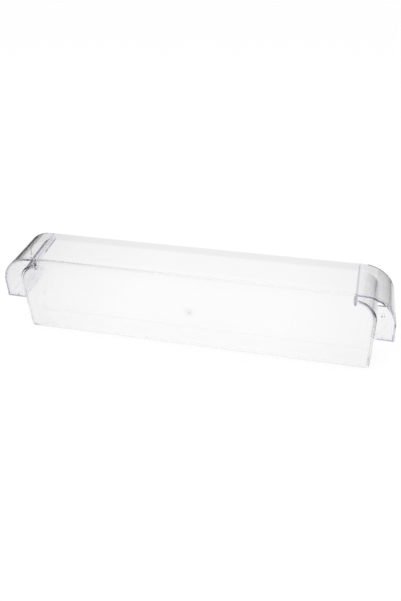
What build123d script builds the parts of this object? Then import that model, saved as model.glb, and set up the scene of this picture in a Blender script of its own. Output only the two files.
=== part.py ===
"""Fridge door shelf: one injection moulding in clear polystyrene.

It is drawn the way it hangs in the door: X along the door, -Y towards the room, +Z up,
with the door at Y = 0 and the underside of the floor at Z = 0. The finished moulding is
then laid on its back wall, which is how it lies on a bench.
"""
import os

from build123d import *

# Overall sizes, in millimetres
overall_width = 438.4        # across the lower corners of the two wings
shelf_depth = 98.7           # from the back of the back wall to the face of the front wall
front_height = 56.5          # underside of the floor to the rim
back_height = 33.0           # underside of the floor to the top of the back wall

# Moulding
wall = 2.2
floor_thickness = 2.4
draft_angle = 0.6            # opening of the trough towards its mouth, in degrees
fold_radius = 3.6            # outer bend from the floor into the front wall
keel_radius = 3.0            # outer bend from the floor into the end and back walls
root_radius = 1.4            # inner bends of the trough's floor
edge_radius = 0.6            # soft top edges of the rim and of the back wall

# Trough
trough_back_width = 396.0    # outside the end walls, at the back wall
trough_front_width = 399.5   # the same, carried on to the tips of the shoulders
shoulder_radius = 26.0       # large outer curve of the end walls at the front
shoulder_gap = 5.8           # clear gap between a shoulder and the wing in front of it
back_corner_radius = 3.6     # upright corners at the back of the trough
end_slope_foot = 10.4        # from the back, where an end wall has fallen to the back wall's height

# Wings, which carry on the front wall round the ends of the trough
wing_front_width = 434.6     # across the sides of the wings, carried on to the front wall
wing_radius = 36.0           # outer curve of a wing, in plan
wing_reach = 55.3            # from the face of the front wall to the back of a wing
wing_lean = 3.2              # how far a wing's side comes in from its lower edge to the rim

# Lips, the ribs that divide the trough from the sockets behind the front wall
lip_spacing = 352.0          # between the middles of the two lips
lip_thickness = 1.5
lip_root_radius = 0.7        # where a lip grows out of the front wall, in the socket
toe_reach = 13.9             # from the face of the front wall to the end of a lip's round toe
toe_thickness = 2.5
toe_height = 8.0             # underside of the floor to the top of a toe

# Guide ribs and stop pegs, on the back wall of each socket
guide_offset = 12.6          # from the lower corner of the wing to the middle of the rib
guide_thickness = 1.4
guide_stand = 2.0
guide_drop = 10.0            # from the rim down to the top of the rib
peg_diameter = 3.6
peg_height = 36.0            # underside of the floor to the middle of the peg
peg_stand = 5.0

# Gate mark, left under the middle of the floor where the plastic came in
gate_dish_diameter = 10.0
gate_dish_depth = 0.35
gate_stub_diameter = 2.0
gate_stub_height = 0.3

# Sizes that follow from those above
front_face = -shelf_depth
wing_back = front_face + wing_reach
shoulder_face = front_face + wall + shoulder_gap
lip_inside = (lip_spacing - lip_thickness) / 2
lip_outside = (lip_spacing + lip_thickness) / 2
toe_end = front_face + toe_reach
overcut = 5.0                # how far a cut runs past the moulding


def trough_plan():
    """Plan of the trough behind the lips: a taper towards the door, with round shoulders."""
    back = trough_back_width / 2
    front = trough_front_width / 2
    corners = [(-back, 0), (back, 0), (front, shoulder_face), (-front, shoulder_face)]
    plan = make_face(Polyline(*corners, close=True))
    rows = plan.vertices().group_by(Axis.Y)
    plan = fillet(rows[0], shoulder_radius)
    return fillet(plan.vertices().group_by(Axis.Y)[-1], back_corner_radius)


def wing_plan(height, inset=0.0):
    """Plan of both wings and what lies between them, at a height, drawn inset from their faces."""
    lean = wing_lean * height / front_height
    half_back = overall_width / 2 - lean
    half_front = wing_front_width / 2 - lean
    corners = [
        (-half_back, wing_back),
        (half_back, wing_back),
        (half_front, front_face),
        (-half_front, front_face),
    ]
    plan = make_face(Polyline(*corners, close=True))
    plan = fillet(plan.vertices().group_by(Axis.Y)[0], wing_radius)
    return Pos(0, 0, height) * (offset(plan, -inset) if inset else plan)


def block(x_low, x_high, y_low, y_high, z_low, z_high):
    """Upright block between the given planes."""
    corner = Pos(x_low, y_low, z_low)
    return corner * Box(x_high - x_low, y_high - y_low, z_high - z_low, align=(Align.MIN,) * 3)


def lowest_edges(solid):
    """Edges all round the underside of a solid."""
    return solid.faces().sort_by(Axis.Z)[0].edges()


def front_corners(solid):
    """Upright edges of a socket's space where the lip meets the inside of the front wall."""
    upright = solid.edges().filter_by(lambda edge: abs(edge.tangent_at(0.5).Z) > 0.9)
    return upright.group_by(Axis.Y)[0]


def trough_lobes(height):
    """Outer form of the trough behind the lips, with the floor's bends, up to a height."""
    lobes = extrude(trough_plan(), height)
    return fillet(lowest_edges(lobes), keel_radius)


def trough_front():
    """Outer form of the trough between the lips, where it runs on to the front wall."""
    back = shoulder_face + shoulder_radius
    front = block(-lip_outside, lip_outside, front_face, back, 0, front_height)
    return fillet(lowest_edges(front).sort_by(Axis.Y)[0], fold_radius)


def trough_inside():
    """Space of the trough, wider at its mouth than at its floor."""
    depth = front_height - floor_thickness
    mouth = Plane.XY.offset(front_height)
    ends = extrude(mouth * offset(trough_plan(), -wall), -depth, taper=draft_angle)
    front = make_face(
        Polyline(
            (-lip_inside, front_face + wall),
            (lip_inside, front_face + wall),
            (lip_inside, shoulder_face + shoulder_radius),
            (-lip_inside, shoulder_face + shoulder_radius),
            close=True,
        )
    )
    front = extrude(mouth * front, -depth, taper=draft_angle)
    return fillet(lowest_edges(ends + front), root_radius)


def wings():
    """Wings as one solid block, left open between the lips."""
    both = loft([wing_plan(0), wing_plan(front_height)], ruled=True)
    low, high = -overcut, front_height + overcut
    return both - block(-lip_inside, lip_inside, front_face - overcut, wing_back + overcut, low, high)


def socket_space():
    """Space of both sockets, open above and below, and narrower at the top."""
    top = front_height + overcut
    space = loft([wing_plan(0, wall), wing_plan(top, wall)], ruled=True)
    space -= trough_lobes(top + overcut)
    space -= block(-lip_outside, lip_outside, front_face, wing_back, -overcut, top + overcut)
    left, right = space.solids().sort_by(Axis.X)
    return fillet(front_corners(left), lip_root_radius) + fillet(front_corners(right), lip_root_radius)


def lip_toe(side):
    """Short round toe at the foot of a lip, which stands into the trough past the shoulder."""
    middle = Pos(side * lip_spacing / 2, (shoulder_face + toe_end) / 2)
    return extrude(middle * SlotOverall(toe_end - shoulder_face, toe_thickness, rotation=90), toe_height)


def guide_rib(side):
    """Low rib on the back wall of a socket, which centres the shelf on the door's lug."""
    centre = side * (overall_width / 2 - guide_offset)
    face = wing_back - wall
    return block(
        centre - guide_thickness / 2,
        centre + guide_thickness / 2,
        face - guide_stand,
        face + wall / 2,
        0,
        front_height - guide_drop,
    )


def stop_peg(side):
    """Peg on the guide rib, which stops the shelf on the top of the door's lug."""
    centre = side * (overall_width / 2 - guide_offset)
    foot = Pos(centre, wing_back - wall / 2, peg_height) * Rot(90, 0, 0)
    return foot * Cylinder(
        peg_diameter / 2,
        peg_stand + wall / 2,
        align=(Align.CENTER, Align.CENTER, Align.MIN),
    )


def back_trim():
    """What is cut away over the back wall and the falling tops of the end walls."""
    slope_top = wing_back
    slope_foot = -end_slope_foot
    outline = make_face(
        Polyline(
            (slope_top, front_height),
            (slope_foot, back_height),
            (overcut, back_height),
            (overcut, front_height + overcut),
            (slope_top, front_height + overcut),
            close=True,
        )
    )
    return extrude(Plane.YZ * outline, overall_width, both=True)


def gate_dish():
    """Shallow round dish under the floor, as a spherical cap."""
    reach = gate_dish_diameter / 2
    ball = (reach**2 + gate_dish_depth**2) / (2 * gate_dish_depth)
    return Pos(0, -shelf_depth / 2, gate_dish_depth - ball) * Sphere(ball)


def gate_stub():
    """Small broken-off stub in the middle of the dish."""
    foot = Pos(0, -shelf_depth / 2, gate_dish_depth - gate_stub_height)
    return foot * Cylinder(
        gate_stub_diameter / 2,
        gate_stub_height + floor_thickness / 2,
        align=(Align.CENTER, Align.CENTER, Align.MIN),
    )


def soft_top(shelf):
    """Round the outer edge of the rim and the top of the back wall, which a hand reaches over."""
    rim_edges = shelf.edges().filter_by_position(Axis.Z, front_height, front_height)
    shelf = fillet(rim_edges.group_by(Axis.Y)[0], edge_radius)
    back_edges = shelf.edges().filter_by_position(Axis.Z, back_height, back_height).filter_by(Axis.X)
    return fillet(back_edges, edge_radius)


def door_shelf():
    """The whole moulding, as it hangs in the door."""
    shelf = trough_lobes(front_height) + trough_front() + wings()
    shelf -= socket_space()
    shelf -= trough_inside()
    for side in (-1, 1):
        shelf += lip_toe(side)
        shelf += guide_rib(side)
        shelf += stop_peg(side)
    shelf -= back_trim()
    shelf -= gate_dish()
    shelf += gate_stub()
    return soft_top(shelf)


def laid_on_its_back(shelf):
    """Turn the shelf onto its back wall, with the origin under the middle of its box."""
    lying = Rot(-90, 0, 0) * shelf
    box = lying.bounding_box()
    return Pos(0, -box.center().Y, -box.min.Z) * lying


os.makedirs("parts", exist_ok=True)
export_step(laid_on_its_back(door_shelf()), "parts/door_shelf.step")
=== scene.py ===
"""Clear fridge door shelf, lying on its back wall on a white table."""
import math

import bpy
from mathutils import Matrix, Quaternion, Vector


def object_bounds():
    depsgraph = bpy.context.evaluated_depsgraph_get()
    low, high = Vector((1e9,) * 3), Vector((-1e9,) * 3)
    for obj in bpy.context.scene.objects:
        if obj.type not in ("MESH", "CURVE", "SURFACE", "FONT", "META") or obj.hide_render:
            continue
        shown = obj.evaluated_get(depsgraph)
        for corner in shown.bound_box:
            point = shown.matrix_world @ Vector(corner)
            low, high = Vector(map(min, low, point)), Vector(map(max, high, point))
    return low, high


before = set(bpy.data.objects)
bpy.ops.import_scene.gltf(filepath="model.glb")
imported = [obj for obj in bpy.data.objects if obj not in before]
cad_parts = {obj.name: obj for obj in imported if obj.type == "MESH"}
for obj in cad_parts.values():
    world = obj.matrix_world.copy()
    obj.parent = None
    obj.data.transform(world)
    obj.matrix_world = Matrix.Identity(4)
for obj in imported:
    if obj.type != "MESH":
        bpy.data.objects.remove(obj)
solid_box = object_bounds()

# The shelf: one injection moulding, with thin walls of clear plastic polished by its mould.
# Nothing is fixed to it; the sockets in its wings drop over two lugs of the door's lining.
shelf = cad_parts["door_shelf"]

MM = 0.001


def linear(hex_colour):
    """Linear colour, with alpha, from an sRGB hex value."""
    channels = [int(hex_colour[i : i + 2], 16) / 255 for i in (1, 3, 5)]
    return [c / 12.92 if c <= 0.04045 else ((c + 0.055) / 1.055) ** 2.4 for c in channels] + [1.0]


def add_node(tree, kind, settings=None, **links):
    """New node of that kind: settings are its properties, links its inputs as values or sockets.

    An input is given by its name, with _ for each space, or by its number, as in _0.
    """
    node = tree.nodes.new(kind)
    for name, value in (settings or {}).items():
        setattr(node, name, value)
    for name, value in links.items():
        key = name.replace("_", " ")
        socket = node.inputs[int(key[1:])] if key[1:].isdigit() else node.inputs[key]
        if isinstance(value, bpy.types.NodeSocket):
            tree.links.new(value, socket)
        else:
            socket.default_value = value
    return node


def empty_material(name):
    """New material with an output node and nothing else."""
    material = bpy.data.materials.new(name)
    material.use_nodes = True
    material.node_tree.nodes.clear()
    output = material.node_tree.nodes.new("ShaderNodeOutputMaterial")
    return material, material.node_tree, output


# Clear polystyrene, moulded in a polished tool: sharp, bright reflections and almost no colour
# through one wall, but a violet grey where the eye looks along a wall or into an edge.
polystyrene_ior = 1.59
polystyrene_depth_tint = "#908EB5"
polystyrene_absorption = 2.5
polished_roughness = 0.015
satin_roughness = 0.2

clear_polystyrene, tree, output = empty_material("clear_polystyrene")
place = add_node(tree, "ShaderNodeTexCoord")

# The walls are not quite flat: they sank a little as they cooled, in slow waves about 30 mm long.
sink_length = 30.0 * MM
sink_depth = 0.012 * MM
sink = add_node(
    tree,
    "ShaderNodeTexNoise",
    Vector=place.outputs["Object"],
    Scale=1.0 / sink_length,
    Detail=1.0,
    Roughness=0.4,
)
sunk = add_node(
    tree, "ShaderNodeBump", Strength=1.0, Distance=sink_depth, Height=sink.outputs["Fac"]
)

# The curve of a shoulder is measured in plan, outwards only, from the middle of its bend. Both ends
# of the shelf are alike, so the plan is folded over at the shelf's middle.
shoulder_centre = (173.7 * MM, 0, 64.7 * MM)
spot = add_node(tree, "ShaderNodeSeparateXYZ", Vector=place.outputs["Object"])
sideways = add_node(tree, "ShaderNodeMath", {"operation": "ABSOLUTE"}, _0=spot.outputs["X"])
half_plan = add_node(tree, "ShaderNodeCombineXYZ", X=sideways.outputs["Value"], Z=spot.outputs["Z"])
past_centre = add_node(
    tree,
    "ShaderNodeVectorMath",
    {"operation": "SUBTRACT"},
    _0=half_plan.outputs["Vector"],
    _1=shoulder_centre,
)
outwards = add_node(
    tree, "ShaderNodeVectorMath", {"operation": "MAXIMUM"}, _0=past_centre.outputs["Vector"]
)
from_shoulder = add_node(
    tree, "ShaderNodeVectorMath", {"operation": "LENGTH"}, _0=outwards.outputs["Vector"]
)

# The gate mark, a dot with a dull ring round it, where the plastic came in hot and slow.
gate_centre = (0, solid_box[0][1], 49.35 * MM)
gate_dot = 2.0
gate_ring = 9.5
from_gate = add_node(
    tree,
    "ShaderNodeVectorMath",
    {"operation": "DISTANCE"},
    _0=place.outputs["Object"],
    _1=gate_centre,
)
dull_ring = add_node(
    tree,
    "ShaderNodeMapRange",
    {"interpolation_type": "SMOOTHSTEP"},
    Value=from_gate.outputs["Value"],
    From_Min=gate_dot * MM,
    From_Max=gate_ring * MM,
    To_Min=1.0,
    To_Max=0.0,
)

# Places on the shelf, each a range of one measure in millimetres: side is the distance from the
# middle, height goes from the floor to the rim and depth from the back wall to the front face.
measures = {
    "side": sideways.outputs["Value"],
    "height": spot.outputs["Y"],
    "depth": spot.outputs["Z"],
    "curve": from_shoulder.outputs["Value"],
    "gate": from_gate.outputs["Value"],
}
foot = solid_box[0][1] / MM
rim = solid_box[1][1] / MM
front_face = solid_box[1][2] / MM
far = 1000
ranges = {
    "outside the lips": ("side", 175.2, far),
    "past the shoulders": ("curve", 27.5, far),
    "at the foot": ("height", -far, foot + 0.3),
    "at the front": ("depth", front_face - 7.7, far),
    "round the corner": ("side", 184, far),
    "on the rim's soft edge": ("height", rim - 0.57, rim - 0.03),
    "in a shoulder's wall": ("curve", 22.5, 27.3),
    "over the floor": ("height", foot + 2.65, far),
    "beside a socket": ("depth", 45.5, 82.5),
    "in a shoulder's bend": ("curve", 24.3, 26.1),
    "in the floor": ("height", -far, foot + 2.65),
    "on the front of a shoulder": ("depth", 72, far),
    "clear of the lips": ("side", 179, far),
    "in a lip": ("side", 174.6, 177.2),
    "behind the front face": ("depth", 84.5, 96.3),
    "over a lip": ("side", 175.1, 176.7),
    "on the front face": ("depth", front_face - 0.2, far),
    "on the floor's inside": ("height", foot + 2.25, foot + 4.05),
    "on the gate dot": ("gate", 0, gate_dot),
}
found = {"round the gate": dull_ring.outputs["Result"]}
for name, (measure, low, high) in ranges.items():
    test = add_node(
        tree,
        "ShaderNodeMath",
        {"operation": "COMPARE", "label": name},
        _0=measures[measure],
        _1=(low + high) / 2 * MM,
        _2=(high - low) / 2 * MM,
    )
    found[name] = test.outputs["Value"]

# Painted shade, laid into the base colour: where the eye looks into the plastic end on, down the whole
# height of a wall or a rib, the edges are painted darker and violet, for the plastic's own violet
# and for the dark lines its refraction shows: at the foot and the rim of the wings, in the lips and most
# of all in their toes. The round feet of the shoulders are painted darker too, and a fine dark line is
# painted on the front face over each lip. The wings and the shoulders' walls get a faint painted shade.
painted_shades = {
    "wing": ("#FDFDFE", "outside the lips", "past the shoulders"),
    "wing foot": ("#CFCDDC", "outside the lips", "past the shoulders", "at the foot"),
    "wing foot front": ("#A9A5C0", "outside the lips", "past the shoulders", "at the foot", "at the front"),
    "wing rim": ("#1A1820", "round the corner", "past the shoulders", "on the rim's soft edge"),
    "shoulder": ("#F6F6F8", "in a shoulder's wall", "over the floor", "beside a socket"),
    "shoulder foot": (
        "#A4A2AE",
        "in a shoulder's bend",
        "in the floor",
        "on the front of a shoulder",
        "clear of the lips",
    ),
    "lip": ("#EAE9F0", "in a lip", "behind the front face"),
    "lip line shade": ("#D0CFDA", "over a lip", "on the front face"),
    "lip toe": ("#A3A1B2", "in a lip", "behind the front face", "at the foot"),
    "gate ring": ("#F6F6F6", "round the gate"),
    "gate dot": ("#E4E4E4", "on the gate dot"),
}
tone = linear("#FFFFFF")
# Each painted shade is mixed over white where all of its places meet.
for name, (colour, first_place, *other_places) in painted_shades.items():
    share = found[first_place]
    for other_place in other_places:
        product = add_node(
            tree, "ShaderNodeMath", {"operation": "MULTIPLY"}, _0=share, _1=found[other_place]
        )
        share = product.outputs["Value"]
    layer = add_node(
        tree,
        "ShaderNodeMix",
        {"data_type": "RGBA", "label": name},
        Factor=share,
        A=tone,
        B=linear(colour),
    )
    tone = layer.outputs["Result"]

# The floor's inside and the bends round it are satin, so what lies behind them shows softly. All
# the other faces have the tool's full polish.
gloss = add_node(
    tree,
    "ShaderNodeMix",
    {"data_type": "FLOAT"},
    Factor=found["on the floor's inside"],
    A=polished_roughness,
    B=satin_roughness,
)
plastic = add_node(
    tree,
    "ShaderNodeBsdfPrincipled",
    Base_Color=tone,
    Roughness=gloss.outputs["Result"],
    IOR=polystyrene_ior,
    Transmission_Weight=1.0,
    Normal=sunk.outputs["Normal"],
)
# Light that comes through the walls still reaches the table, so the shadow stays faint.
thin_shadow = add_node(tree, "ShaderNodeBsdfTransparent", Color=linear("#EDEDF1"))
ray = add_node(tree, "ShaderNodeLightPath")
clear_or_shadow = add_node(
    tree,
    "ShaderNodeMixShader",
    Fac=ray.outputs["Is Shadow Ray"],
    _1=plastic.outputs["BSDF"],
    _2=thin_shadow.outputs["BSDF"],
)
tint = add_node(
    tree,
    "ShaderNodeVolumeAbsorption",
    Color=linear(polystyrene_depth_tint),
    Density=polystyrene_absorption,
)
tree.links.new(clear_or_shadow.outputs["Shader"], output.inputs["Surface"])
tree.links.new(tint.outputs["Volume"], output.inputs["Volume"])
shelf.data.materials[0] = clear_polystyrene

# The table: a sheet of white laminate that the shelf lies on. The eye sees it as plain white, with a
# faint shadow. The plastic mirrors and bends a painted pool of light that fades to both sides, with a
# painted soft shade in a strip behind it, standing for the shelf's own shade.
table_size = 6.0
table_gap = 0.2 * MM
table_glow_share = 0.88

white_laminate, tree, output = empty_material("white_laminate")
sheet = add_node(tree, "ShaderNodeBsdfDiffuse", Color=linear("#F2F2F2"))
glow = add_node(tree, "ShaderNodeEmission", Color=linear("#FFFFFF"), Strength=1.0)
lit_sheet = add_node(
    tree,
    "ShaderNodeMixShader",
    Fac=table_glow_share,
    _1=sheet.outputs["BSDF"],
    _2=glow.outputs["Emission"],
)

# The painted light on the table at some distances in millimetres: the pool's from the middle to either
# side, the shade's from the middle backwards. Between them it changes evenly.
pool_profile = ((0, 0.99), (95, 0.99), (210, 0.928), (280, 0.835), (520, 0.03), (600, 0.03))
shade_profile = (
    (0, 1.0),
    (90, 1.0),
    (112, 0.942),
    (148, 0.932),
    (153, 0.84),
    (172, 0.84),
    (215, 0.96),
    (300, 1.0),
)
ground = add_node(tree, "ShaderNodeNewGeometry")
across = add_node(tree, "ShaderNodeSeparateXYZ", Vector=ground.outputs["Position"])
to_side = add_node(tree, "ShaderNodeMath", {"operation": "ABSOLUTE"}, _0=across.outputs["X"])
ramps = {}
for name, distance, profile in (
    ("pool", to_side.outputs["Value"], pool_profile),
    ("shade", across.outputs["Y"], shade_profile),
):
    reach = profile[-1][0]
    along = add_node(tree, "ShaderNodeMapRange", Value=distance, From_Min=0.0, From_Max=reach * MM)
    ramp = add_node(tree, "ShaderNodeValToRGB", {"label": name}, Fac=along.outputs["Result"])
    steps = ramp.color_ramp.elements
    steps[0].color = [profile[0][1]] * 3 + [1.0]
    steps[1].color = [profile[-1][1]] * 3 + [1.0]
    for mark, level in profile[1:-1]:
        step = steps.new(mark / reach)
        step.color = [level] * 3 + [1.0]
    ramps[name] = ramp.outputs["Color"]
shaded_pool = add_node(
    tree, "ShaderNodeMath", {"operation": "MULTIPLY"}, _0=ramps["pool"], _1=ramps["shade"]
)
pool_glow = add_node(
    tree, "ShaderNodeEmission", Color=linear("#FFFFFF"), Strength=shaded_pool.outputs["Value"]
)
ray = add_node(tree, "ShaderNodeLightPath")
bent_or_mirrored = add_node(
    tree,
    "ShaderNodeMath",
    {"operation": "MAXIMUM"},
    _0=ray.outputs["Is Glossy Ray"],
    _1=ray.outputs["Is Transmission Ray"],
)
unseen = add_node(
    tree,
    "ShaderNodeMixShader",
    Fac=bent_or_mirrored.outputs["Value"],
    _1=sheet.outputs["BSDF"],
    _2=pool_glow.outputs["Emission"],
)
shown = add_node(
    tree,
    "ShaderNodeMixShader",
    Fac=ray.outputs["Is Camera Ray"],
    _1=unseen.outputs["Shader"],
    _2=lit_sheet.outputs["Shader"],
)
tree.links.new(shown.outputs["Shader"], output.inputs["Surface"])

bpy.ops.mesh.primitive_plane_add(size=table_size, location=(0, 0, -table_gap))
table = bpy.context.object
table.name = "table"
table.data.materials.append(white_laminate)

# The black cards: two sheets of matt card stand on the table beside and behind the wings, unseen by the
# eye, the table and the lamps. Clear plastic shows only by what its edges mirror and bend: the cards show
# only in its reflections and refractions, as dark reflections that give the edges their dark lines.
black_card, tree, output = empty_material("black_card")
matt = add_node(tree, "ShaderNodeBsdfDiffuse", Color=linear("#060606"))
tree.links.new(matt.outputs["BSDF"], output.inputs["Surface"])
for name, start, end, card_height in (
    ("card_left", (-450, -250), (-450, 450), 190),
    ("card_right", (290, 200), (620, 200), 240),
):
    corners = [
        (start[0] * MM, start[1] * MM, 0),
        (end[0] * MM, end[1] * MM, 0),
        (end[0] * MM, end[1] * MM, card_height * MM),
        (start[0] * MM, start[1] * MM, card_height * MM),
    ]
    mesh = bpy.data.meshes.new(name)
    mesh.from_pydata(corners, [], [(0, 1, 2, 3)])
    mesh.materials.append(black_card)
    card = bpy.data.objects.new(name, mesh)
    bpy.context.scene.collection.objects.link(card)
    card.visible_camera = False
    card.visible_diffuse = False
    card.visible_shadow = False

# The room: a white studio. Its wall is bright behind the shelf, a little to the left, dimmer to both
# sides and bright again in front, and its ceiling is brightest. The eye itself sees plain white
# beyond the table.
bright_azimuth = math.radians(-16)
bright_edge = math.radians(8)
dim_start = math.radians(38)
front_edge = math.radians(80)
front_start = math.radians(120)
bright_level = 1.0
dim_level = 0.55
front_gain = 0.45
ceiling_level = 1.1
ceiling_edge = 0.5
ceiling_start = 0.95

room = bpy.data.worlds.new("white_studio")
bpy.context.scene.world = room
room.use_nodes = True
tree = room.node_tree
tree.nodes.clear()
output = tree.nodes.new("ShaderNodeOutputWorld")
direction = add_node(tree, "ShaderNodeTexCoord")
towards = add_node(tree, "ShaderNodeSeparateXYZ", Vector=direction.outputs["Generated"])
azimuth = add_node(
    tree, "ShaderNodeMath", {"operation": "ARCTAN2"}, _0=towards.outputs["X"], _1=towards.outputs["Y"]
)
turned = add_node(
    tree, "ShaderNodeMath", {"operation": "SUBTRACT"}, _0=azimuth.outputs["Value"], _1=bright_azimuth
)
aside = add_node(tree, "ShaderNodeMath", {"operation": "ABSOLUTE"}, _0=turned.outputs["Value"])
back_and_sides = add_node(
    tree,
    "ShaderNodeMapRange",
    {"interpolation_type": "SMOOTHSTEP"},
    Value=aside.outputs["Value"],
    From_Min=bright_edge,
    From_Max=dim_start,
    To_Min=bright_level,
    To_Max=dim_level,
)
front = add_node(
    tree,
    "ShaderNodeMapRange",
    {"interpolation_type": "SMOOTHSTEP"},
    Value=aside.outputs["Value"],
    From_Min=front_edge,
    From_Max=front_start,
    To_Min=0.0,
    To_Max=front_gain,
)
all_round = add_node(
    tree,
    "ShaderNodeMath",
    {"operation": "ADD"},
    _0=back_and_sides.outputs["Result"],
    _1=front.outputs["Result"],
)
upward = add_node(
    tree,
    "ShaderNodeMapRange",
    {"interpolation_type": "SMOOTHSTEP"},
    Value=towards.outputs["Z"],
    From_Min=ceiling_edge,
    From_Max=ceiling_start,
)
brightness = add_node(
    tree,
    "ShaderNodeMix",
    {"data_type": "FLOAT"},
    Factor=upward.outputs["Result"],
    A=all_round.outputs["Value"],
    B=ceiling_level,
)
studio = add_node(
    tree, "ShaderNodeBackground", Color=linear("#FFFFFF"), Strength=brightness.outputs["Result"]
)
beyond = add_node(tree, "ShaderNodeBackground", Color=linear("#FFFFFF"), Strength=1.0)
ray = add_node(tree, "ShaderNodeLightPath")
seen = add_node(
    tree,
    "ShaderNodeMixShader",
    Fac=ray.outputs["Is Camera Ray"],
    _1=studio.outputs["Background"],
    _2=beyond.outputs["Background"],
)
tree.links.new(seen.outputs["Shader"], output.inputs["Surface"])

# The lamps: two soft boxes over the table, the larger one in front and to the left. They light the
# table but are kept out of the plastic, where their square images would stand out.
for name, lamp_place, width, power in (
    ("softbox_left", (-0.9, -0.7, 1.2), 0.9, 9.0),
    ("softbox_right", (1.1, -0.2, 1.0), 0.6, 4.0),
):
    lamp_data = bpy.data.lights.new(name, "AREA")
    lamp_data.shape = "SQUARE"
    lamp_data.size = width
    lamp_data.energy = power
    lamp = bpy.data.objects.new(name, lamp_data)
    lamp.location = lamp_place
    lamp.rotation_euler = (-Vector(lamp_place)).to_track_quat("-Z", "Y").to_euler()
    lamp.visible_glossy = False
    lamp.visible_transmission = False
    bpy.context.scene.collection.objects.link(lamp)

# The camera: a short telephoto above and to the right of the middle, held slightly tilted.
# It aims at a point on the floor's underside, and its colours come out as they are written.
camera_aim = Vector((14.058, -28.25, 68.519)) * MM
camera_distance = 716.324 * MM
camera_azimuth = math.radians(15.8922)
camera_elevation = math.radians(37.7134)
camera_roll = math.radians(-3.2457)
camera_sensor = 36.0
camera_lens = 59.744

camera_data = bpy.data.cameras.new("camera")
camera_data.sensor_fit = "HORIZONTAL"
camera_data.sensor_width = camera_sensor
camera_data.lens = camera_lens
camera = bpy.data.objects.new("camera", camera_data)
back = Vector(
    (
        math.sin(camera_azimuth) * math.cos(camera_elevation),
        -math.cos(camera_azimuth) * math.cos(camera_elevation),
        math.sin(camera_elevation),
    )
)
camera.location = camera_aim + back * camera_distance
upright = (-back).to_track_quat("-Z", "Y")
camera.rotation_mode = "QUATERNION"
camera.rotation_quaternion = upright @ Quaternion((0, 0, 1), camera_roll)
bpy.context.scene.collection.objects.link(camera)
bpy.context.scene.camera = camera
bpy.context.scene.view_settings.view_transform = "Standard"

# Light that runs inside the thin walls is mirrored many times before it comes out.
wall_bounces = 32
bpy.context.scene.cycles.max_bounces = wall_bounces
bpy.context.scene.cycles.glossy_bounces = wall_bounces
bpy.context.scene.cycles.transmission_bounces = wall_bounces
